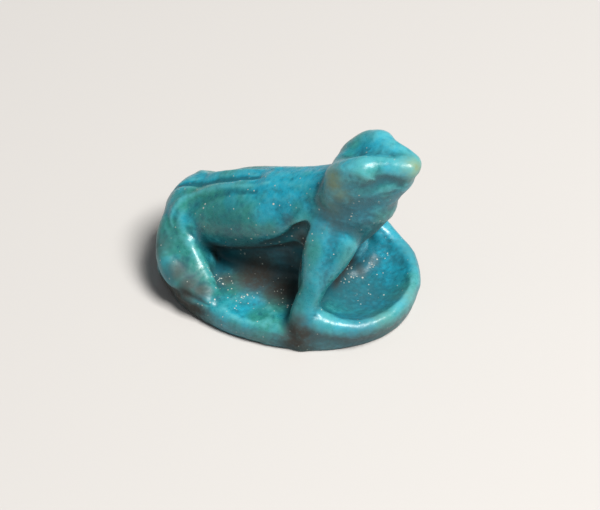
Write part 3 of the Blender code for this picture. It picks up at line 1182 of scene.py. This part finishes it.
def camera_axes(stage):
    """The picture's right, its up, and the way from the frog to the camera."""
    turn, tilt = stage.turn, stage.tilt
    back = Vector((math.sin(turn) * math.cos(tilt), -math.cos(turn) * math.cos(tilt), math.sin(tilt)))
    right = Vector((math.cos(turn), math.sin(turn), 0.0))
    return right, back.cross(right), back


def add_camera(stage):
    """The camera, with the plate's middle at its place in the picture."""
    right, up, back = camera_axes(stage)
    scale = stage.pixels_per_mm / MM
    aim = right * ((stage.picture_width / 2 - stage.plate_across) / scale)
    aim += up * ((stage.plate_down - stage.picture_height / 2) / scale)
    deselect_all()
    bpy.ops.object.camera_add(location=aim + back * stage.distance)
    camera = bpy.context.active_object
    camera.name = "camera"
    camera.rotation_mode = "QUATERNION"
    camera.rotation_quaternion = Matrix((right, up, back)).transposed().to_quaternion()
    camera.data.sensor_width = SENSOR
    camera.data.lens = SENSOR * stage.distance / (stage.picture_width / scale)
    camera.data.clip_start = 0.001
    camera.data.clip_end = 10.0
    bpy.context.scene.camera = camera


def add_light(name, direction, distance, size, power, colour):
    """A square soft light that shines on the frog from the given direction."""
    direction = Vector(direction).normalized()
    bpy.ops.object.light_add(type="AREA", location=direction * distance)
    light = bpy.context.active_object
    light.name = name
    light.rotation_mode = "QUATERNION"
    light.rotation_quaternion = direction.to_track_quat("Z", "Y")
    light.data.size = size
    light.data.energy = power
    light.data.color = colour


def add_floor(stage):
    """A plain pale floor under the frog."""
    deselect_all()
    bpy.ops.mesh.primitive_plane_add(size=1.2, location=(0, 0, 0))
    floor = bpy.context.active_object
    floor.name = "floor"
    material = bpy.data.materials.new("pale floor")
    material.use_nodes = True
    shader = material.node_tree.nodes["Principled BSDF"]
    shader.inputs["Base Color"].default_value = (*stage.floor_colour, 1.0)
    shader.inputs["Roughness"].default_value = 0.8
    floor.data.materials.append(material)


def add_world():
    """Faint even light from all round."""
    world = bpy.data.worlds.new("studio")
    bpy.context.scene.world = world
    world.use_nodes = True
    background = world.node_tree.nodes["Background"]
    background.inputs["Color"].default_value = (0.93, 0.96, 1.0, 1.0)
    background.inputs["Strength"].default_value = 0.16


class FROG_OT_model(Operator):
    """Model the frog and its plate, and glaze them"""

    bl_idname = "frog.model"
    bl_label = "Model the frog"

    def execute(self, context):
        frog = model_frog(context.scene.frog_sizes)
        frog.data.materials.clear()
        frog.data.materials.append(glazed_faience(context.scene.frog_glaze))
        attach(frog, BODY)
        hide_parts(NODE)
        return {"FINISHED"}


class FROG_OT_stage(Operator):
    """Set the camera, the soft lights and the pale floor"""

    bl_idname = "frog.stage"
    bl_label = "Set the stage"

    def execute(self, context):
        stage = context.scene.frog_stage
        add_camera(stage)
        add_world()
        add_light(
            "overhead light",
            direction=(0.47, -0.08, 0.90),
            distance=0.16,
            size=0.065,
            power=0.45,
            colour=(1.0, 0.98, 0.95),
        )
        add_light(
            "side fill",
            direction=(-0.7, -0.8, 0.7),
            distance=0.2,
            size=0.12,
            power=0.012,
            colour=(0.95, 0.98, 1.0),
        )
        add_floor(stage)
        context.scene.view_settings.view_transform = "Standard"
        return {"FINISHED"}


class FROG_PT_panel(Panel):
    """Lists the frog's sizes, colours and stage"""

    bl_idname = "FROG_PT_panel"
    bl_label = "Frog scaraboid"
    bl_space_type = "VIEW_3D"
    bl_region_type = "UI"
    bl_category = "Frog"

    def draw(self, context):
        scene = context.scene
        for group, operator in (
            (scene.frog_sizes, None),
            (scene.frog_glaze, FROG_OT_model.bl_idname),
            (scene.frog_stage, FROG_OT_stage.bl_idname),
        ):
            box = self.layout.box()
            for name in group.__annotations__:
                box.prop(group, name)
            if operator:
                box.operator(operator)


CLASSES = (FrogSizes, FrogGlaze, FrogStage, FROG_OT_model, FROG_OT_stage, FROG_PT_panel)


def register():
    for cls in CLASSES:
        bpy.utils.register_class(cls)
    bpy.types.Scene.frog_sizes = PointerProperty(type=FrogSizes)
    bpy.types.Scene.frog_glaze = PointerProperty(type=FrogGlaze)
    bpy.types.Scene.frog_stage = PointerProperty(type=FrogStage)


def unregister():
    del bpy.types.Scene.frog_stage
    del bpy.types.Scene.frog_glaze
    del bpy.types.Scene.frog_sizes
    for cls in reversed(CLASSES):
        bpy.utils.unregister_class(cls)


def main():
    register()
    bpy.ops.frog.model()
    bpy.ops.frog.stage()


if __name__ == "__main__":
    main()
